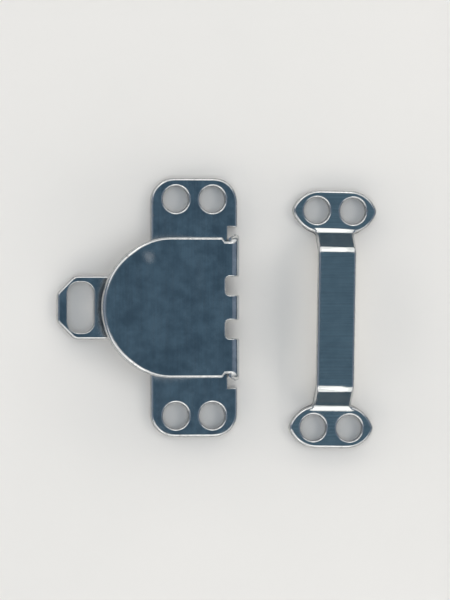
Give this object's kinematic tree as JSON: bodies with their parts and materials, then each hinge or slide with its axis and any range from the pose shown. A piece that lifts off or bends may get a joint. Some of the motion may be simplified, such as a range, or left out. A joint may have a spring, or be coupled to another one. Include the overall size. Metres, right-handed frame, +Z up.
{
  "type": "hook and eye clasp",
  "caption": "Flat sew-on waistband fastener: a plated steel hook folded from one sheet, with a thread loop, and the raised bar that it catches.",
  "frame": {"origin": "under the middle of the two pieces' common box, on the surface that they lie on", "axes": "+X from the hook's thread loop to the eye bar, +Y along the garment's edge, +Z up from the cloth"},
  "size_m": [0.025, 0.021, 0.0018],
  "materials": {
    "plated_steel": "bright nickel plating on pressed sheet steel, with faint rolling grain"
  },
  "bodies": {
    "root": {"hook": "plated_steel", "eye_bar": "plated_steel"}
  },
  "joints": []
}
